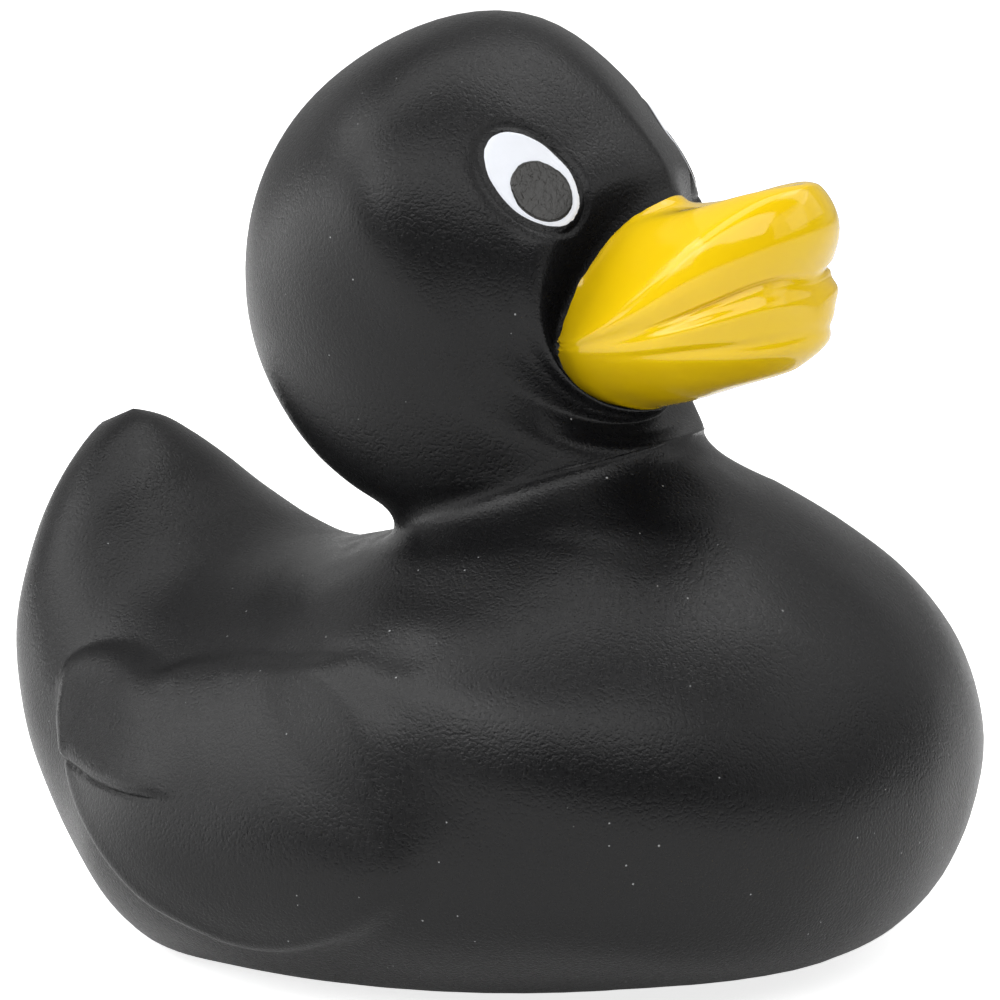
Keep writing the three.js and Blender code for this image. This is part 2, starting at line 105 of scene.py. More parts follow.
# Hull stations: back point, belly point, half width and how low the widest place lies.
HULL = (
    ((-8.1, 35.9), (17.8, 43.6), 13.8, 0.02),
    ((-7.0, 34.6), (18.0, 43.1), 13.4, 0.02),
    ((-7.4, 33.9), (18.4, 42.3), 13.9, 0.02),
    ((-8.3, 33.5), (20.2, 41.1), 15.6, 0.02),
    ((-9.3, 33.3), (24.6, 38.5), 18.9, 0.03),
    ((-10.4, 32.9), (30.2, 34.8), 22.6, 0.03),
    ((-11.5, 32.6), (35.7, 29.9), 26.8, 0.02),
    ((-12.8, 32.2), (39.6, 23.5), 30.3, 0.03),
    ((-14.1, 31.9), (41.3, 16.0), 32.0, 0.03),
    ((-15.4, 31.6), (39.5, 8.7), 32.6, 0.02),
    ((-16.7, 31.3), (35.1, 3.2), 33.1, 0.04),
    ((-17.9, 31.1), (22.7, -0.3), 33.9, 0.11),
    ((-19.3, 31.0), (8.2, -2.9), 33.7, 0.14),
    ((-21.2, 31.1), (-7.9, -3.8), 32.2, 0.16),
    ((-23.4, 31.8), (-19.6, -3.5), 28.8, 0.16),
    ((-25.9, 33.4), (-29.4, 1.4), 23.8, 0.13),
    ((-28.8, 35.6), (-37.8, 10.5), 19.4, 0.11),
    ((-31.1, 37.8), (-42.0, 19.9), 15.0, 0.11),
    ((-33.0, 39.4), (-42.6, 28.9), 10.1, 0.09),
    ((-34.6, 40.5), (-41.2, 35.9), 5.4, 0.06),
    ((-36.4, 41.0), (-39.7, 39.5), 0, 0),
)
LINE_ANGLES = (0, 28, 56, 80, 100, 112, 124, 150, 180)
SPANS = len(LINE_ANGLES) - 1
BASE_ROUNDING = 1.6
FINE = 1025

# The station of the paint's edge, the last one whose ripples are smoothed away, and the two stretches
# where the skin's faces are shorter, with how many times: the beak's root and the neck.
PAINT_EDGE = 5
HEAD_END = 16
FINER = ((4.5, 7.0, 1.6), (14.5, 19.5, 2.6))

# Length round the skin's half, and how far it lies back under the coat, in millimetres.
HALF_GIRTH = 88
UNDER_COAT = 0.9

# Eyes: where they look, in degrees, then the groove round the white and the flat facet, in millimetres.
EYE_TURN, EYE_RISE, EYE_TILT = 42.7, 26.6, 39
GROOVE_OUT, GROOVE_WIDTH, GROOVE_DEPTH = 0.5, 0.26, 0.26
FACET_REACH, FACET_SHARE = 2.0, 0.8

# Wings: width of the edge's slope, what its front, fore edge and upper edge add, rim, step and slit.
EDGE_SLOPE, FRONT_SLOPE, FORE_SLOPE, UPPER_SLOPE = 1.7, 9, 1.2, 0.5
RIM_RISE, RIM_WIDTH = 0.3, 0.9
SLIT_STEP, SLIT_DEPTH, SLIT_WIDTH = 0.5, 0.2, 0.22

# The coat: faces along and around, its upper and lower face between two lines, thickness and sink.
COAT_COLUMNS, COAT_ROWS = 84, 150
COAT_FACES = ((2.35, 3.92), (4.08, 5.85))
COAT_THICKNESS, COAT_SINK = 0.15, 0.06


def catmull_rom(p0, p1, p2, p3, t):
    """Centripetal curve between p1 and p2."""
    def gap(a, b):
        return np.maximum(((a - b) ** 2).sum(-1, keepdims=True), 1e-16) ** 0.25

    d0, d1, d2 = gap(p0, p1), gap(p1, p2), gap(p2, p3)
    d1 = np.where(d1 < 1e-4, 1.0, d1)
    d0 = np.where(d0 < 1e-4, d1, d0)
    d2 = np.where(d2 < 1e-4, d1, d2)
    m1 = ((p1 - p0) / d0 - (p2 - p0) / (d0 + d1) + (p2 - p1) / d1) * d1
    m2 = ((p2 - p1) / d1 - (p3 - p1) / (d1 + d2) + (p3 - p2) / d2) * d1
    return p1 + m1 * t + (3 * (p2 - p1) - 2 * m1 - m2) * t**2 + (2 * (p1 - p2) + m1 + m2) * t**3


def beak_half(points):
    """A beak station's half as a fine line through its nine points and their mirror images."""
    guides = np.array([(CORNER[0] + a, out, CORNER[1] + up) for a, out, up in points], float)
    mirrored = guides * (1, -1, 1)
    loop = np.concatenate([mirrored[1:2], guides, mirrored[-2:-1]])
    v = np.linspace(0, SPANS, FINE)
    i = np.minimum(v.astype(int), SPANS - 1)
    return catmull_rom(loop[i], loop[i + 1], loop[i + 2], loop[i + 3], (v - i)[:, None])


def round_half(back, belly, wide, low, bow=0.0):
    """A round station's half as a fine line."""
    back, belly = np.array(back, float), np.array(belly, float)
    across = belly - back
    ahead = np.array((-across[1], across[0])) / np.linalg.norm(across)
    angle = np.radians(np.interp(np.linspace(0, SPANS, FINE), range(SPANS + 1), LINE_ANGLES))
    s = np.sin(angle)
    s[-1] = 0
    along = (1 - np.cos(angle)) / 2 + low * s * s / 2
    spot = back + across * along[:, None] + ahead * (bow * s)[:, None]
    return np.stack([spot[:, 0], wide * s, spot[:, 1]], 1)


def stations():
    """The halves of all stations, from the beak's tip to the tail's."""
    halves = [beak_half(points) for points in BEAK]
    for angle, reach, throat, wide, low, bow in CHEEKS:
        turn = math.radians(angle)
        r = HEAD_RADIUS * reach
        back = (HEAD[0] + r * math.cos(turn), HEAD[1] + r * math.sin(turn))
        halves.append(round_half(back, throat, wide, low, bow))
    halves += [round_half(*hull) for hull in HULL]
    return np.array(halves)


HALVES = stations()
LAST = len(HALVES) - 1


def skin(u, v):
    """Points of the skin's half with y above 0: u counts stations to the tail, v lines to the belly."""
    u, v = np.asarray(u, float), np.asarray(v, float)
    at = v / SPANS * (FINE - 1)
    k = np.clip(at.astype(int), 0, FINE - 2)
    w = (at - k)[:, None]
    i = np.clip(u.astype(int), 0, LAST - 1)

    def line(j):
        return HALVES[j, k] * (1 - w) + HALVES[j, k + 1] * w

    before, here = line(np.maximum(i - 1, 0)), line(i)
    there, after = line(i + 1), line(np.minimum(i + 2, LAST))
    before = np.where((i == 0)[:, None], there * (1, -1, 1), before)
    after = np.where((i == LAST - 1)[:, None], here * (1, -1, 1), after)
    p = catmull_rom(before, here, there, after, (u - i)[:, None])
    p[:, 1] = np.maximum(p[:, 1], 0)
    r = BASE_ROUNDING
    z = p[:, 2]
    p[:, 2] = np.where(z <= -r, 0, np.where(z >= r, z, (z + r) ** 2 / (4 * r)))
    p[(v <= 0) | (v >= SPANS) | (u <= 0) | (u >= LAST), 1] = 0
    return p + (SHIFT, 0, 0)


def survey(last, count, lines=60):
    """Stations from the first to a last one, and the skin's points there."""
    at, v = np.linspace(0, last, count), np.linspace(0, SPANS, lines)
    return at, skin(np.repeat(at, lines), np.tile(v, count)).reshape(count, lines, 3)


# The frame's origin lies under the middle of the duck's outline, so the stations move by this much.
SHIFT = 0.0
WHOLE = survey(LAST, 400)[1][:, :, 0]
SHIFT = 0.5 * (CAD_BOX[0][0] + CAD_BOX[1][0]) / MM - 0.5 * (WHOLE.min() + WHOLE.max())


def smoothstep(x, low, high):
    """Rises smoothly from 0 at low to 1 at high."""
    t = np.clip((x - low) / (high - low), 0, 1)
    return t * t * (3 - 2 * t)


def bump(x, middle, width):
    """Is 1 at the middle and dies away over the width."""
    return np.exp(-(((x - middle) / width) ** 2))


def to_line(points, line):
    """Distance of flat points to a polyline, and how far along it the nearest spot is, from 0 to 1."""
    steps = np.linalg.norm(np.diff(line, axis=0), axis=1)
    start = np.concatenate([[0], np.cumsum(steps)])
    least, along = np.full(len(points), 1e9), np.zeros(len(points))
    for a, b, s, step in zip(line[:-1], line[1:], start, steps):
        t = np.clip((points - a) @ (b - a) / step**2, 0, 1)
        d = np.linalg.norm(points - a - t[:, None] * (b - a), axis=1)
        nearer = d < least
        least[nearer] = d[nearer]
        along[nearer] = (s + t[nearer] * step) / start[-1]
    return least, along


def inside(points, line):
    """Whether flat points lie within a closed polyline."""
    odd = np.zeros(len(points), bool)
    for (ax, az), (bx, bz) in zip(line, np.roll(line, -1, 0)):
        if az == bz:
            continue
        cross = (az > points[:, 1]) != (bz > points[:, 1])
        odd ^= cross & (points[:, 0] < ax + (points[:, 1] - az) / (bz - az) * (bx - ax))
    return odd


def rounded(points, steps=6):
    """A closed smooth line through a few points."""
    p = np.array(points, float)
    t = np.linspace(0, 1, steps, endpoint=False)[:, None]
    after, last = np.roll(p, -1, 0), np.roll(p, -2, 0)
    return np.concatenate([catmull_rom(p[i - 1], p[i], after[i], last[i], t) for i in range(len(p))])


# Wing outline and the slit between its upper and lower feathers, seen from the side.
WING = rounded([
    (-29.7, 21.4), (-29.3, 23.6), (-27.6, 24.8), (-24.2, 25.5), (-20.6, 25.2), (-18.0, 24.8), (-15.4, 25.7),
    (-11.9, 26.5), (-7.7, 27.2), (-3.4, 27.9), (1.0, 28.9), (6.0, 29.6), (11.5, 27.5), (15.0, 23.0),
    (15.8, 18.0), (14.6, 14.6), (12.3, 11.4), (9.3, 8.9), (5.9, 6.9), (2.0, 5.6), (-2.2, 4.8), (-5.8, 4.9),
    (-9.4, 5.8),
    (-13.6, 7.1), (-16.7, 8.8), (-19.9, 10.9), (-22.7, 12.9), (-24.9, 14.8), (-26.3, 16.9), (-28.2, 18.9),
])
WING_EDGE = np.concatenate([WING, WING[:1]])
SLIT = np.array(((-27.4, 17.8), (-25.0, 16.8), (-19.5, 16.1), (-15.0, 16.0), (-9.5, 16.3)))


def eye_axes(side):
    """Axis out of the head, the eye's length and its width, as unit vectors."""
    turn, rise, tilt = math.radians(EYE_TURN), math.radians(EYE_RISE), math.radians(EYE_TILT)
    axis = np.array((math.cos(rise) * math.cos(turn), math.cos(rise) * math.sin(turn), math.sin(rise)))
    inward = np.array((math.sin(turn), -math.cos(turn), 0))
    down = np.cross(inward, axis)
    down *= -np.sign(down[2])
    major = down * math.cos(tilt) + inward * math.sin(tilt)
    axis[1] *= side
    major[1] *= side
    return axis, major, np.cross(major, axis)


def head_centre():
    return np.array((HEAD[0] + SHIFT, 0, HEAD[1]))


def eye_distance(points, side):
    """Distance outside the oval of an eye's white, seen along its axis."""
    length, width = settings().eye_length / MM, settings().eye_width / MM
    axis, major, minor = eye_axes(side)
    q = points - head_centre()
    a, b = q @ major, q @ minor
    rho = np.sqrt((a / (length / 2)) ** 2 + (b / (width / 2)) ** 2) + 1e-6
    slope = np.hypot(a / (length / 2) ** 2, b / (width / 2) ** 2) / rho + 1e-6
    return np.where(q @ axis > 0, (rho - 1) / slope, 99.0)


def srgb(text):
    """A hex colour as linear red, green, blue and alpha."""
    parts = [int(text[i:i + 2], 16) / 255 for i in (1, 3, 5)]
    return [c / 12.92 if c <= 0.04045 else ((c + 0.055) / 1.055) ** 2.4 for c in parts] + [1.0]


def tone(name, description, colour):
    """A colour that can be changed in the panel."""
    return bpy.props.FloatVectorProperty(
        name=name, description=description, subtype="COLOR", default=srgb(colour)[:3])


class DuckSettings(bpy.types.PropertyGroup):
    """Sizes and finishes of the duck."""

    coarse: bpy.props.FloatProperty(
        name="Skin spacing", description="Size of the skin's faces away from its details", default=1.3 * MM,
        min=0.6 * MM, max=3 * MM, unit="LENGTH")
    wing_relief: bpy.props.FloatProperty(
        name="Wing relief", description="How far a wing stands out of the flank", default=1.2 * MM, min=0,
        max=3 * MM, unit="LENGTH")
    eye_length: bpy.props.FloatProperty(
        name="Eye length", description="Length of the white of an eye", default=9.5 * MM, unit="LENGTH")
    eye_width: bpy.props.FloatProperty(
        name="Eye width", description="Width of the white of an eye", default=6.2 * MM, unit="LENGTH")
    pupil_length: bpy.props.FloatProperty(
        name="Pupil length", description="Length of a pupil", default=5.8 * MM, unit="LENGTH")
    pupil_width: bpy.props.FloatProperty(
        name="Pupil width", description="Width of a pupil", default=4.9 * MM, unit="LENGTH")
    vinyl: tone("Vinyl", "Colour of the moulding", "#08080a")
    vinyl_pale: tone("Vinyl, paler", "Colour of the moulding's paler clouds", "#0c0c0d")
    dust: tone("Dust", "Colour of the pale dust in the vinyl's grain", "#8e8f90")
    enamel: tone("Enamel", "Colour of the beak's coat", "#e6bb04")
    enamel_pale: tone("Enamel, paler", "Colour of the coat's paler clouds", "#edc812")
    white_ink: tone("White ink", "Colour of the eyes' whites", "#dadde4")
    white_ink_pale: tone("White ink, paler", "Colour of the whites' paler clouds", "#e4e7ee")
    dark_ink: tone("Pupil ink", "Colour of the pupils", "#100f0d")
    dark_ink_pale: tone("Pupil ink, paler", "Colour of the pupils' paler clouds", "#201e1b")


def settings():
    """The panel's values."""
    return bpy.context.scene.duck


# Making meshes
def only(obj):
    """Selects this object alone and makes it active."""
    if bpy.context.object and bpy.context.object.mode != "OBJECT":
        bpy.ops.object.mode_set(mode="OBJECT")
    bpy.ops.object.select_all(action="DESELECT")
    obj.select_set(True)
    bpy.context.view_layer.objects.active = obj
    return obj


def edit(obj, select="SELECT"):
    """Opens a mesh in edit mode with all of its faces selected, or none."""
    only(obj)
    bpy.ops.object.mode_set(mode="EDIT")
    bpy.ops.mesh.select_mode(type="FACE")
    bpy.ops.mesh.select_all(action=select)


def done():
    """Leaves edit mode."""
    bpy.ops.object.mode_set(mode="OBJECT")


def get_points(mesh, what="vertices", field="co"):
    """Places of a mesh's points, or of its faces' centres, one per row."""
    items = getattr(mesh, what)
    values = np.zeros(len(items) * 3, np.float32)
    items.foreach_get(field, values)
    return values.reshape(-1, 3).astype(float)


def put_points(mesh, points):
    """Moves a mesh's points."""
    mesh.vertices.foreach_set("co", np.asarray(points, np.float32).ravel())
    mesh.update()


def normals(mesh):
    """Ways out of a mesh at its points."""
    values = np.zeros(len(mesh.vertices) * 3, np.float32)
    mesh.vertex_normals.foreach_get("vector", values)
    return values.reshape(-1, 3).astype(float)


def sheet(name, columns, rows):
    """A flat grid whose corners lie at 0 and 1, to be laid over the skin."""
    bpy.ops.object.select_all(action="DESELECT")
    bpy.ops.mesh.primitive_grid_add(x_subdivisions=columns, y_subdivisions=rows, size=1, location=(0, 0, 0))
    obj = bpy.context.object
    obj.name = obj.data.name = name
    edit(obj)
    bpy.ops.transform.translate(value=(0.5, 0.5, 0))
    done()
    return obj


def split_where(obj, test):
    """Subdivides the faces whose centres pass the test."""
    mesh = obj.data
    chosen = test(get_points(mesh, "polygons", "center"))
    edit(obj, "DESELECT")
    done()
    mesh.polygons.foreach_set("select", chosen)
    bpy.ops.object.mode_set(mode="EDIT")
    bpy.ops.mesh.subdivide(number_cuts=1, ngon=False)
    done()


def soften(obj, chosen, times):
    """Smooths the chosen points of a mesh."""
    edit(obj, "DESELECT")
    bpy.ops.mesh.select_mode(type="VERT")
    done()
    obj.data.vertices.foreach_set("select", chosen)
    bpy.ops.object.mode_set(mode="EDIT")
    bpy.ops.mesh.vertices_smooth(factor=0.5, repeat=times)
    done()


def apply(obj, kind, **values):
    """Adds a modifier with its settings and applies it."""
    only(obj)
    bpy.ops.object.modifier_add(type=kind)
    modifier = obj.modifiers[-1]
    for key, value in values.items():
        setattr(modifier, key, value)
    bpy.ops.object.modifier_apply(modifier=modifier.name)


def blur(grid, cells, axis):
    """Smooths a grid of points along one of its ways, ends left out."""
    reach = int(3 * cells)
    weights = np.exp(-0.5 * (np.arange(-reach, reach + 1) / cells) ** 2)
    weights /= weights.sum()
    padded = np.pad(grid, [(reach, reach) if a == axis else (0, 0) for a in range(3)], mode="edge")
    spans = [range(i, i + grid.shape[axis]) for i in range(len(weights))]
    return sum(w * np.take(padded, span, axis) for w, span in zip(weights, spans))


def soft_skin(u, v, along, around, last):
    """The skin without the ripples between its stations, from the tip of the beak to a last station."""
    cell, beyond = 0.05, 1.5
    grid_u = np.arange(-beyond, last + beyond + 1, cell)
    grid_v = np.arange(-beyond, SPANS + beyond, cell)
    at_u, at_v = [a.ravel() for a in np.meshgrid(grid_u, grid_v, indexing="ij")]
    fold = np.where(at_v < 0, -at_v, np.where(at_v > SPANS, 2 * SPANS - at_v, at_v))
    p = skin(np.abs(at_u), fold)
    p[:, 1] *= np.where(at_v != fold, -1, 1) * np.where(at_u < 0, -1, 1)
    raw = p.reshape(len(grid_u), len(grid_v), 3)
    soft = blur(blur(raw, along / cell, 0), around / cell, 1)
    rest = raw - soft
    soft = soft + blur(blur(rest, along / cell, 0), around / cell, 1)
    x, y = (np.asarray(u) + beyond) / cell, (np.asarray(v) + beyond) / cell
    i, k = x.astype(int), y.astype(int)
    a, b = (x - i)[:, None], (y - k)[:, None]
    low = soft[i, k] * (1 - a) + soft[i + 1, k] * a
    high = soft[i, k + 1] * (1 - a) + soft[i + 1, k + 1] * a
    return low * (1 - b) + high * b


def keep(mesh, name, values):
    """Stores a number at each point of a mesh."""
    attribute = mesh.attributes.new(name, "FLOAT", "POINT")
    attribute.data.foreach_set("value", np.asarray(values, np.float32))


def recall(mesh, name):
    """Gives stored numbers back and takes them off the mesh."""
    values = np.zeros(len(mesh.vertices), np.float32)
    mesh.attributes[name].data.foreach_get("value", values)
    mesh.attributes.remove(mesh.attributes[name])
    return values.astype(float)


def close_mirrored(obj):
    """Mirrors a half, joins it along the middle and turns its faces outwards."""
    apply(obj, "MIRROR", use_axis=(False, True, False), merge_threshold=1e-6)
    edit(obj)
    bpy.ops.mesh.remove_doubles(threshold=2e-6)
    bpy.ops.mesh.normals_make_consistent(inside=False)
    done()
    only(obj)
    bpy.ops.object.shade_smooth()


def wave(points, size, seed):
    """Smooth numbers between about -1 and 1 that vary over a length, the same each run."""
    rng = np.random.default_rng(seed)
    total = np.zeros(len(points))
    for _ in range(9):
        way = rng.normal(size=3)
        way /= np.linalg.norm(way)
        total += np.sin(points @ way * (2 * math.pi / size * rng.uniform(0.7, 1.4)) + rng.uniform(0, 6.3))
    return total / 4.5


def add_piece(obj, replaced, finish):
    """Gives a piece its material and body, and hides the CAD part that it replaces."""
    obj.data.materials.clear()
    obj.data.materials.append(finish)
    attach(obj, "root")
    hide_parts(replaced)


# Materials
def node(tree, kind, inputs=None, **values):
    """Adds a node with its settings, and sets or links its inputs."""
    made = tree.nodes.new(kind)
    for key, value in values.items():
        setattr(made, key, value)
    for key, value in (inputs or {}).items():
        if isinstance(value, bpy.types.NodeSocket):
            tree.links.new(value, made.inputs[key])
        else:
            made.inputs[key].default_value = value
    return made


def material(name):
    """An empty material with its shader, and the place that its patterns follow."""
    made = bpy.data.materials.new(name)
    made.use_nodes = True
    tree = made.node_tree
    tree.nodes.clear()
    shader = node(tree, "ShaderNodeBsdfPrincipled")
    node(tree, "ShaderNodeOutputMaterial", {"Surface": shader.outputs[0]})
    place = node(tree, "ShaderNodeTexCoord").outputs["Object"]
    return made, tree, shader, place


def clouded(tree, shader, place, size, deep, pale):
    """Two near colours in soft clouds on the shader, and the clouds themselves."""
    cloud = node(tree, "ShaderNodeTexNoise", {"Vector": place, "Scale": 1 / size, "Detail": 3.0})
    colours = [(*getattr(settings(), name), 1.0) for name in (deep, pale)]
    tint = node(tree, "ShaderNodeMix", {"Factor": cloud.outputs[0], "A": colours[0], "B": colours[1]},
                data_type="RGBA")
    tree.links.new(tint.outputs["Result"], shader.inputs["Base Color"])
    return cloud, tint


def moulded_vinyl():
    """Soft PVC cast in an etched hot mould: near black, satin and finely grained, with pits and dust."""
    made, tree, shader, place = material("moulded black vinyl")
    cloud, tint = clouded(tree, shader, place, 18 * MM, "vinyl", "vinyl_pale")
    # The mould's etched grain, about a quarter of a millimetre across, over the slow swell of the casting.
    grain = node(tree, "ShaderNodeTexNoise", {"Vector": place, "Scale": 1 / (0.26 * MM), "Detail": 2.0,
                                              "Roughness": 0.6})
    swell = node(tree, "ShaderNodeTexNoise", {"Vector": place, "Scale": 1 / (4 * MM), "Detail": 2.0})
    # Dust: dots up to a fifth of a millimetre wide, one to a cell of two millimetres, larger in some clouds.
    cells = node(tree, "ShaderNodeTexVoronoi", {"Vector": place, "Scale": 1 / (2.1 * MM)})
    gate = node(tree, "ShaderNodeMapRange", {"Value": cloud.outputs[0], "From Min": 0.42, "From Max": 0.68,
                                             "To Min": 0.02, "To Max": 0.055})
    dust = node(tree, "ShaderNodeMath", {0: cells.outputs["Distance"], 1: gate.outputs[0]},
                operation="LESS_THAN")
    colour = node(tree, "ShaderNodeMix", {"Factor": dust.outputs[0], "A": tint.outputs["Result"],
                                          "B": (*settings().dust, 1.0)}, data_type="RGBA")
    tree.links.new(colour.outputs["Result"], shader.inputs["Base Color"])
    rough = node(tree, "ShaderNodeMapRange", {"Value": grain.outputs[0], "From Min": 0.3, "From Max": 0.7,
                                              "To Min": 0.25, "To Max": 0.33})
    tree.links.new(rough.outputs[0], shader.inputs["Roughness"])
    # Pits left by small bubbles, one to a cell of three and a half millimetres.
    pits = node(tree, "ShaderNodeTexVoronoi", {"Vector": place, "Scale": 1 / (3.5 * MM)})
    pit = node(tree, "ShaderNodeMapRange", {"Value": pits.outputs["Distance"], "From Min": 0.0,
                                            "From Max": 0.07})
    low = node(tree, "ShaderNodeBump", {"Height": swell.outputs[0], "Strength": 0.25, "Distance": 0.1 * MM})
    mid = node(tree, "ShaderNodeBump", {"Height": grain.outputs[0], "Strength": 0.8, "Distance": 0.08 * MM,
                                        "Normal": low.outputs[0]})
    top = node(tree, "ShaderNodeBump", {"Height": pit.outputs[0], "Strength": 0.6, "Distance": 0.05 * MM,
                                        "Normal": mid.outputs[0]})
    tree.links.new(top.outputs[0], shader.inputs["Normal"])
    # The grain traps light, so the sheen is weaker than that of bare plastic.
    shader.inputs["Specular IOR Level"].default_value = 0.3
    shader.inputs["IOR"].default_value = 1.5
    return made


def beak_enamel():
    """Yellow enamel sprayed through a mask: glossy and level, with a faint orange peel."""
    made, tree, shader, place = material("sprayed yellow enamel")
    clouded(tree, shader, place, 6 * MM, "enamel", "enamel_pale")
    # Orange peel of about a millimetre, which ripples the reflections slightly.
    peel = node(tree, "ShaderNodeTexNoise", {"Vector": place, "Scale": 1 / (1.1 * MM), "Detail": 2.0})
    ripple = node(tree, "ShaderNodeBump", {"Height": peel.outputs[0], "Strength": 0.12,
                                           "Distance": 0.06 * MM})
    tree.links.new(ripple.outputs[0], shader.inputs["Normal"])
    shader.inputs["Roughness"].default_value = 0.1
    shader.inputs["IOR"].default_value = 1.5
    return made


def eye_ink(name, deep, pale, roughness, strength):
    """Pad-printed ink: a level film, slightly uneven in tone, wrinkled where it is thick."""
    made, tree, shader, place = material(name)
    clouded(tree, shader, place, 2 * MM, deep, pale)
    # Wrinkles about half a millimetre apart, deep in the thick ink and faint in the thin.
    crinkle = node(tree, "ShaderNodeTexNoise", {"Vector": place, "Scale": 1 / (0.45 * MM), "Detail": 3.0,
                                                "Distortion": 0.6})
    wrinkles = node(tree, "ShaderNodeBump", {"Height": crinkle.outputs[0], "Strength": strength,
                                             "Distance": 0.06 * MM})
    tree.links.new(wrinkles.outputs[0], shader.inputs["Normal"])
    shader.inputs["Roughness"].default_value = roughness
    return made


def squeaker_plastic():
    """Natural low-density polyethylene, injection moulded: milky and waxy, with soft highlights."""
    made, tree, shader, place = material("natural polyethylene")
    shader.inputs["Base Color"].default_value = srgb("#e6e2d5")
    shader.inputs["Roughness"].default_value = 0.42
    shader.inputs["Subsurface Weight"].default_value = 0.15
    shader.inputs["Subsurface Radius"].default_value = (MM, MM, 0.9 * MM)
    waxy = node(tree, "ShaderNodeTexNoise", {"Vector": place, "Scale": 1 / (0.6 * MM), "Detail": 2.0})
    skin_marks = node(tree, "ShaderNodeBump", {"Height": waxy.outputs[0], "Strength": 0.15,
                                               "Distance": 0.03 * MM})
    tree.links.new(skin_marks.outputs[0], shader.inputs["Normal"])
    return made


# Relief of the skin
def wing_height(points):
    """How far the wings and their feathers lift the skin."""
    relief = settings().wing_relief / MM
    height = np.zeros(len(points))
    flank = (np.abs(points[:, 1]) > 8) & (points[:, 2] < 31.5) & (points[:, 2] > 3)
    flat = points[flank][:, [0, 2]] - (SHIFT, 0)
    away, _ = to_line(flat, WING_EDGE)
    within = np.where(inside(flat, WING), away, -away)
    x, z = flat[:, 0], flat[:, 1]
    front = smoothstep(x, 1, 15) * smoothstep(z, 12, 21)
    fore_edge = smoothstep(x, 0, 14) * (1 - front)
    upper = smoothstep(z, 17, 22) * (1 - front)
    slope = EDGE_SLOPE + FRONT_SLOPE * front + FORE_SLOPE * fore_edge + UPPER_SLOPE * upper
    lift = relief * smoothstep(within, -0.3, slope) * (1 - 0.4 * front)
    crisp = RIM_RISE * (1 - front) * (1 - 0.7 * fore_edge)
    lift += crisp * bump(within, RIM_WIDTH, RIM_WIDTH) * (1 - 0.35 * upper)
    off, along = to_line(flat, SLIT)
    above = flat[:, 1] - np.interp(flat[:, 0], SLIT[:, 0], SLIT[:, 1])
    fade = (1 - smoothstep(along, 0.75, 1.0)) * (off < 4) * (within > -0.3)
    step = SLIT_STEP * smoothstep(above, -0.16, 0.16) * (1 - smoothstep(off, 0.3, 3.8))
    cut = SLIT_DEPTH * bump(off, 0, SLIT_WIDTH)
    height[flank] = lift + fade * (step - cut)
    return height


def eye_height(points):
    """The groove moulded around each eye."""
    height = np.zeros(len(points))
    for side in (1, -1):
        height -= GROOVE_DEPTH * bump(eye_distance(points, side), GROOVE_OUT, GROOVE_WIDTH)
    return height


def eye_facet(points):
    """Each eye lies on a nearly flat facet of the head."""
    move = np.zeros_like(points)
    for side in (1, -1):
        axis, _, _ = eye_axes(side)
        d = eye_distance(points, side)
        rim = np.abs(d - 0.2) < 0.4
        level = (points[rim] - head_centre()) @ axis
        over = (points - head_centre()) @ axis - level.mean()
        flatten = -FACET_SHARE * np.maximum(over, 0) * smoothstep(d, FACET_REACH, 0.0)
        move += flatten[:, None] * axis
    return move


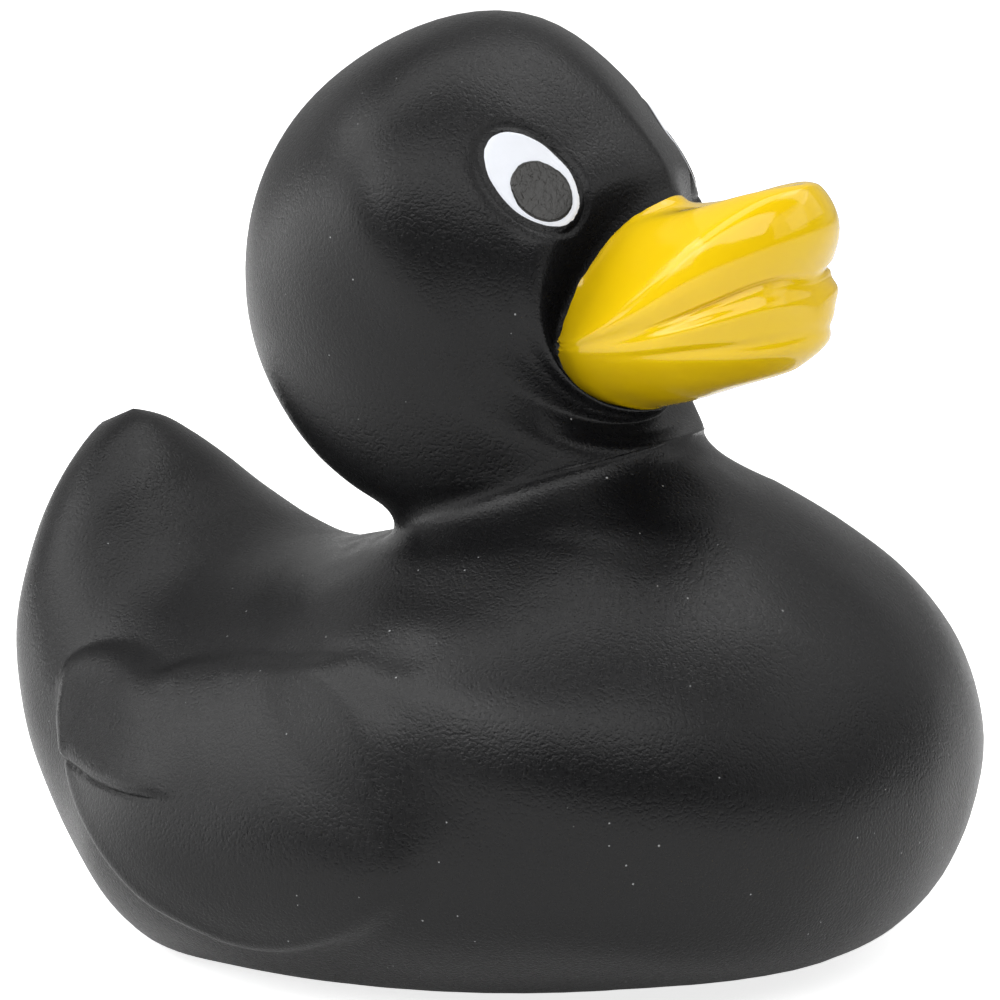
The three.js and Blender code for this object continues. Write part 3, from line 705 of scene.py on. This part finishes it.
class DUCK_OT_shell(bpy.types.Operator):
    """Moulds the hollow body: head, neck, hull, wings, tail and the beak under its coat"""

    bl_idname = "duck.shell"
    bl_label = "Moulded body"

    def execute(self, context):
        spacing = settings().coarse / MM
        at, rows = survey(LAST, 1500)
        run = np.linalg.norm(np.diff(rows, axis=0), axis=2).max(1)
        for first, last, times in FINER:
            run *= np.where((at[1:] > first) & (at[1:] < last), times, 1.0)
        total = np.concatenate([[0], np.cumsum(run)])
        columns = int(total[-1] / spacing)
        u_marks = np.interp(np.linspace(0, total[-1], columns + 1), total, at)
        body = sheet("moulded_body", columns, int(HALF_GIRTH / spacing))

        def station(p):
            return np.interp(p[:, 0] * columns, range(columns + 1), u_marks)

        def place(p):
            u, v = station(p), p[:, 1] * SPANS
            head = (smoothstep(u, 6.5, 8.0) * smoothstep(u, 15.8, 14.5))[:, None]
            round_head = soft_skin(np.minimum(u, HEAD_END), v, 0.75, 0.3, HEAD_END)
            spot = skin(u, v) * (1 - head) + round_head * head
            spot[(v <= 0) | (v >= SPANS), 1] = 0
            return spot

        def near(wide):
            def test(centres):
                p = place(centres)
                close = np.zeros(len(p), bool)
                flank = (p[:, 1] > 8) & (p[:, 2] < 31)
                flat = p[flank][:, [0, 2]] - (SHIFT, 0)
                edge, _ = to_line(flat, WING_EDGE)
                slit, _ = to_line(flat, SLIT)
                rear = flat[:, 0] < 6
                close[flank] = ((edge < wide) & rear) | (slit < wide)
                return close | (np.abs(eye_distance(p, 1) - 0.6) < wide)
            return test

        for wide in (2.0, 1.1):
            split_where(body, near(wide))
        mesh = body.data
        p = get_points(mesh)
        keep(mesh, "station", station(p))
        put_points(mesh, place(p) * MM)
        close_mirrored(body)

        at = recall(mesh, "station")
        p = get_points(mesh) / MM
        soften(body, (at > 15.8) & (at < 19.6) & (np.abs(p[:, 1]) > 2.5), 40)
        p, n = get_points(mesh) / MM, normals(mesh)
        under = smoothstep(at, 4.8, 4.45)
        flat_base = smoothstep(p[:, 2], 0.2, 3.0)
        lift = wing_height(p) - UNDER_COAT * under + 0.05 * wave(p, 9, 3) * flat_base
        p = p + n * lift[:, None]
        put_points(mesh, p * MM)
        n = normals(mesh)
        p = p + n * (eye_height(p) + dent_height(p))[:, None]
        p = p + eye_facet(p)
        p[:, 2] = np.maximum(p[:, 2], 0)
        put_points(mesh, p * MM)

        bpy.ops.object.select_all(action="DESELECT")
        low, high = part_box("squeaker_plug")
        hole = (0.5 * (low[0] + high[0]), 0, 0)
        bpy.ops.mesh.primitive_cylinder_add(vertices=96, radius=7 * MM, depth=8 * MM, location=hole)
        drill = bpy.context.object
        only(drill)
        bpy.ops.object.transform_apply(location=True, rotation=True, scale=True)
        apply(body, "BOOLEAN", operation="DIFFERENCE", object=drill, solver="EXACT")
        bpy.data.objects.remove(drill)
        only(body)
        bpy.ops.object.shade_smooth_by_angle(angle=math.radians(50))
        add_piece(body, "body", moulded_vinyl())
        return {"FINISHED"}


# Small dents of the casting, as place, size along and across, and depth, in millimetres.
DENTS = (
    ((15.8, -15.9, 37.7), 1.6, 0.5, 0.16),
    ((18.6, -15.1, 37.4), 1.9, 0.5, 0.14),
    ((22.2, -14.1, 36.5), 1.7, 0.5, 0.12),
    ((14.9, -24.3, 32.6), 1.2, 0.5, 0.06),
    ((18.6, -20.9, 34.1), 1.8, 0.6, 0.10),
    ((8.6, -28.3, 29.9), 2.6, 1.4, 0.45),
)


def dent_height(points):
    """How far the dents sink the skin."""
    height = np.zeros(len(points))
    for spot, along, across, depth in DENTS:
        q = points - np.array(spot) - (SHIFT, 0, 0)
        flat = np.hypot(q[:, 0], q[:, 1] * 0.6)
        height -= depth * np.exp(-((flat / along) ** 2) - (q[:, 2] / across) ** 2)
    return height


class DUCK_OT_beak(bpy.types.Operator):
    """Sprays the coat of enamel over the beak"""

    bl_idname = "duck.beak"
    bl_label = "Beak enamel"

    def execute(self, context):
        columns, rows = COAT_COLUMNS, COAT_ROWS
        at, line = survey(PAINT_EDGE, 400)
        run = np.concatenate([[0], np.cumsum(np.linalg.norm(np.diff(line, axis=0), axis=2).mean(1))])
        u_marks = np.interp(np.linspace(0, run[-1], columns + 1), run, at)
        around = np.linspace(0, SPANS, 2000)
        ring = skin(np.full(2000, 2.6), around)
        length = np.concatenate([[0], np.cumsum(np.linalg.norm(np.diff(ring, axis=0), axis=1) + 0.008)])
        v_marks = np.interp(np.linspace(0, length[-1], rows + 1), length, around)
        coat = sheet("beak_enamel", columns, rows)
        q = get_points(coat.data)
        u = np.interp(q[:, 0] * columns, range(columns + 1), u_marks)
        v = np.interp(q[:, 1] * rows, range(rows + 1), v_marks)

        # The paint's edge wanders a little, except on the middle line.
        along_edge = np.stack([v * 3, v * 0, v * 0], 1)
        ragged = 0.10 * wave(along_edge, 2.2, 5) + 0.05 * wave(along_edge, 0.6, 6)
        u = u + ragged * smoothstep(u, 4.0, 5.0) * smoothstep(v, 0, 0.4) * smoothstep(v, SPANS, SPANS - 0.4)

        # The faces between rim, mouth and lower rim are smooth arcs, and the skin takes over at the root.
        hold = smoothstep(u, 3.9, 4.8)[:, None]
        p = soft_skin(u, v, 0.45, 0.3, 5)
        for first, last in COAT_FACES:
            part = ((v - first) / (last - first))[:, None]
            middle = (first + last) / 2
            low, mid, high = [soft_skin(u, v * 0 + spot, 0.45, 0.3, 5) for spot in (first, middle, last)]
            arc = low * (1 - part) * (1 - 2 * part) + mid * 4 * part * (1 - part)
            arc = arc + high * part * (2 * part - 1)
            p = np.where((part > 0) & (part < 1), arc, p)
        even = blur(p.reshape(rows + 1, columns + 1, 3), 5.0, 0).reshape(-1, 3)
        level = (smoothstep(v, 0.8, 1.6) * smoothstep(v, 7.2, 6.6))[:, None]
        p = p * (1 - level) + even * level
        p = p * (1 - hold) + skin(u, v) * hold
        p[(u <= 0) | (v <= 0) | (v >= SPANS), 1] = 0

        # Rim, lower lip, mouth line and jaw crease, fading out to the mouth's corner and to the tip.
        gape = skin(u_marks, u_marks * 0 + 2) - skin(u_marks, u_marks * 0 + 6)
        deep = smoothstep(np.interp(u, u_marks, np.linalg.norm(gape, axis=1)), 1.5, 9)
        slit = smoothstep(u, 3.2, 1.8)
        lift = 0.22 * bump(v, 2.0, 0.35) * smoothstep(u, 0.6, 2.2)
        lift += (0.5 * bump(v, 4.95, 0.4) - 0.45 * bump(v, 4, 0.11)) * slit
        lift -= 0.3 * bump(v, 5.95, 0.2)
        lift *= 0.2 + 0.8 * smoothstep(u, 0, 1.1)
        lift *= deep
        fade = smoothstep(u, 4.9, 3.9)
        lift = lift * fade + 0.02 * wave(p, 5, 11) * fade
        lift += COAT_THICKNESS * smoothstep(u, PAINT_EDGE + 0.02, PAINT_EDGE - 0.07) - COAT_SINK
        keep(coat.data, "lift", lift)
        put_points(coat.data, p * MM)
        close_mirrored(coat)
        lift = recall(coat.data, "lift")
        p = get_points(coat.data) / MM + normals(coat.data) * lift[:, None]
        put_points(coat.data, p * MM)

        # The vinyl mirrors the black moulding under the coat, so no yellow cast falls on head and chest.
        coat.visible_glossy = False
        add_piece(coat, "beak_paint", beak_enamel())
        return {"FINISHED"}


def print_oval(name, side, length, width, drop, aside, lift, tree, seed):
    """A film of ink laid on the head inside an oval, moved along and aside in its eye."""
    cells = 56
    film = sheet(name, cells, cells)
    q = get_points(film.data)[:, :2] * 2 - 1
    x = q[:, 0] * np.sqrt(1 - q[:, 1] ** 2 / 2)
    y = q[:, 1] * np.sqrt(1 - q[:, 0] ** 2 / 2)
    rim = np.hypot(x, y)
    angle = np.arctan2(y, x)
    edge = np.stack([np.cos(angle), np.sin(angle), angle * 0], 1) * 3
    ragged = wave(edge, 2.4, seed) * 0.045
    ragged += wave(edge, 0.7, seed + 1) * 0.025
    grow = 1 + ragged * rim**4 / (width / 2)
    axis, major, minor = eye_axes(side)
    head = head_centre() + axis * 40
    points = []
    for a, b, r in zip(x * grow * length / 2 + drop, y * grow * width / 2 + aside, rim):
        start = head + major * a + minor * b
        hit = tree.ray_cast(Vector(start * MM), Vector(-axis))[0]
        rise = lift * float(smoothstep(1 - r, -0.001, 0.09)) - 0.02
        points.append(np.array(hit) / MM + axis * rise)
    put_points(film.data, np.array(points) * MM)
    if np.dot(normals(film.data)[0], axis) < 0:
        edit(film)
        bpy.ops.mesh.flip_normals()
        done()
    only(film)
    bpy.ops.object.shade_smooth()
    return film


class DUCK_OT_eyes(bpy.types.Operator):
    """Prints the whites and the pupils on the head"""

    bl_idname = "duck.eyes"
    bl_label = "Printed eyes"

    def execute(self, context):
        s = settings()
        body = bpy.data.objects["moulded_body"]
        white = eye_ink("white pad-print ink", "white_ink", "white_ink_pale", 0.35, 0.2)
        dark = eye_ink("brown-black pad-print ink", "dark_ink", "dark_ink_pale", 0.24, 1.0)
        whole = s.eye_length / MM, s.eye_width / MM
        pupil = s.pupil_length / MM, s.pupil_width / MM
        tree = BVHTree.FromObject(body, context.evaluated_depsgraph_get())
        for side, hand in ((1, "left"), (-1, "right")):
            film = print_oval(f"eye_ink_{hand}", side, *whole, 0, 0, 0.1, tree, 20)
            add_piece(film, f"eye_white_{hand}", white)
            film = print_oval(f"pupil_ink_{hand}", side, *pupil, 1.25, -0.2 * side, 0.24, tree, 30)
            add_piece(film, f"pupil_{hand}", dark)
        return {"FINISHED"}


class DUCK_OT_squeaker(bpy.types.Operator):
    """Finishes the squeaker's plug and reed"""

    bl_idname = "duck.squeaker"
    bl_label = "Squeaker"

    def execute(self, context):
        plastic = squeaker_plastic()
        for name in ("squeaker_plug", "squeaker_reed"):
            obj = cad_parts[name]
            obj.data.materials.clear()
            obj.data.materials.append(plastic)
        return {"FINISHED"}


# The stage: the camera's turn and rise in degrees, its distance and the height it looks at in metres,
# its pixels per metre there, and the pixel where that spot lies.
TURN, RISE = 31.0, 11.0
DISTANCE = 0.52
LOOK_HEIGHT = 0.0385
SCALE = 12000.0
PICTURE = 1000
MIDDLE = (495.1, 478.5)

# Lights: the way to each as right, up and towards the camera, its width and height in metres, and how
# bright it looks, where 1 is white. All hang at one distance from the duck's middle.
LIGHT_DISTANCE = 0.8
LIGHTS = (
    ("left softbox", (-1.0, 0.08, 0.0), 0.55, 0.42, 2.2),
    ("left rear softbox", (-0.85, 0.0, -0.53), 0.4, 0.3, 2.2),
    ("upper left softbox", (-0.77, 0.6, 0.18), 1.0, 0.42, 2.4),
    ("overhead softbox", (-0.05, 1.0, 0.03), 1.3, 0.45, 2.0),
    ("overhead right softbox", (0.6, 0.8, 0.0), 0.3, 0.5, 1.6),
    ("front top softbox", (0.02, 0.6, 0.8), 1.1, 0.48, 2.4),
    ("right front card", (0.84, 0.36, 0.4), 0.5, 0.5, 0.7),
    ("front left fill", (-0.62, 0.38, 0.68), 0.45, 0.4, 1.9),
    ("right card", (0.88, 0.42, 0.05), 0.75, 0.35, 0.75),
)


def camera_axes():
    """Ways towards the camera, to its right and upwards in its picture."""
    turn, rise = math.radians(TURN), math.radians(RISE)
    back = Vector((math.sin(turn) * math.cos(rise), -math.cos(turn) * math.cos(rise), math.sin(rise)))
    right = Vector((math.cos(turn), math.sin(turn), 0))
    return back, right, back.cross(right)


def softbox(name, way, width, height, brightness):
    """A rectangular light that faces the duck."""
    back, right, up = camera_axes()
    direction = (right * way[0] + up * way[1] + back * way[2]).normalized()
    bpy.ops.object.light_add(type="AREA", location=Vector((0, 0, 0.04)) + direction * LIGHT_DISTANCE)
    light = bpy.context.object
    light.name = name
    light.rotation_euler = direction.to_track_quat("Z", "Y").to_euler()
    light.data.shape = "RECTANGLE"
    light.data.size, light.data.size_y = width, height
    light.data.energy = math.pi * width * height * brightness


class DUCK_OT_stage(bpy.types.Operator):
    """Sets the floor, the lights, the world and the camera"""

    bl_idname = "duck.stage"
    bl_label = "Stage"

    def execute(self, context):
        bpy.ops.object.select_all(action="DESELECT")
        bpy.ops.mesh.primitive_plane_add(size=6, location=(0, 0, 0))
        floor = bpy.context.object
        floor.name = "floor"
        only(floor)
        bpy.ops.object.transform_apply(location=True, rotation=True, scale=True)
        made = bpy.data.materials.new("white sweep")
        made.use_nodes = True
        tree = made.node_tree
        tree.nodes.clear()
        paper = node(tree, "ShaderNodeBsdfDiffuse", {"Color": srgb("#f4f4f4")})
        path = node(tree, "ShaderNodeLightPath")
        seen = node(tree, "ShaderNodeMath", {0: path.outputs["Is Camera Ray"], 1: 0.8},
                    operation="MULTIPLY")
        shone = node(tree, "ShaderNodeMath", {0: path.outputs["Is Glossy Ray"], 1: 0.1, 2: seen.outputs[0]},
                     operation="MULTIPLY_ADD")
        glow = node(tree, "ShaderNodeEmission", {"Strength": shone.outputs[0]})
        both = node(tree, "ShaderNodeAddShader", {0: paper.outputs[0], 1: glow.outputs[0]})
        node(tree, "ShaderNodeOutputMaterial", {"Surface": both.outputs[0]})
        floor.data.materials.append(made)

        # The room is bright behind the duck and dark towards the camera, and the camera sees it white.
        back, right, up = camera_axes()
        world = bpy.data.worlds.new("white room")
        context.scene.world = world
        world.use_nodes = True
        tree = world.node_tree
        tree.nodes.clear()
        way = node(tree, "ShaderNodeTexCoord").outputs["Generated"]
        facing = node(tree, "ShaderNodeVectorMath", {0: way, 1: tuple(back)}, operation="DOT_PRODUCT")
        room = node(tree, "ShaderNodeMapRange",
                    {"Value": facing.outputs["Value"], "From Min": -0.7, "From Max": 0.0, "To Min": 0.42,
                     "To Max": 0.04}, interpolation_type="SMOOTHSTEP")
        path = node(tree, "ShaderNodeLightPath")
        seen = node(tree, "ShaderNodeMix", {"Factor": path.outputs["Is Camera Ray"], "A": room.outputs[0],
                                            "B": 1.0})
        shade = node(tree, "ShaderNodeBackground", {"Color": (1, 1, 1, 1), "Strength": seen.outputs[0]})
        node(tree, "ShaderNodeOutputWorld", {"Surface": shade.outputs[0]})

        for light in LIGHTS:
            softbox(*light)

        data = bpy.data.cameras.new("camera")
        camera = bpy.data.objects.new("camera", data)
        context.scene.collection.objects.link(camera)
        middle = Vector((SHIFT * MM, 0, LOOK_HEIGHT))
        camera.location = middle + back * DISTANCE
        aside, above = (PICTURE / 2 - MIDDLE[0]) / SCALE, (MIDDLE[1] - PICTURE / 2) / SCALE
        aim = middle + right * aside + up * above
        camera.rotation_euler = (aim - camera.location).to_track_quat("-Z", "Y").to_euler()
        data.lens = SCALE * DISTANCE * data.sensor_width / PICTURE
        data.clip_start, data.clip_end = 0.01, 20
        context.scene.camera = camera
        context.scene.view_settings.view_transform = "Standard"
        return {"FINISHED"}


class DUCK_PT_panel(bpy.types.Panel):
    """The duck's pieces in the sidebar"""

    bl_label = "Duck"
    bl_idname = "DUCK_PT_panel"
    bl_space_type = "VIEW_3D"
    bl_region_type = "UI"
    bl_category = "Duck"

    def draw(self, context):
        for name in DuckSettings.__annotations__:
            self.layout.prop(context.scene.duck, name)
        for operator in OPERATORS:
            self.layout.operator(operator.bl_idname)


OPERATORS = (DUCK_OT_shell, DUCK_OT_beak, DUCK_OT_eyes, DUCK_OT_squeaker, DUCK_OT_stage)
CLASSES = (DuckSettings, *OPERATORS, DUCK_PT_panel)


def register():
    for cls in CLASSES:
        bpy.utils.register_class(cls)
    bpy.types.Scene.duck = bpy.props.PointerProperty(type=DuckSettings)


def unregister():
    del bpy.types.Scene.duck
    for cls in reversed(CLASSES):
        bpy.utils.unregister_class(cls)


def main():
    register()
    bpy.ops.duck.shell()
    bpy.ops.duck.beak()
    bpy.ops.duck.eyes()
    bpy.ops.duck.squeaker()
    bpy.ops.duck.stage()
    bpy.context.view_layer.update()


if __name__ == "__main__":
    main()
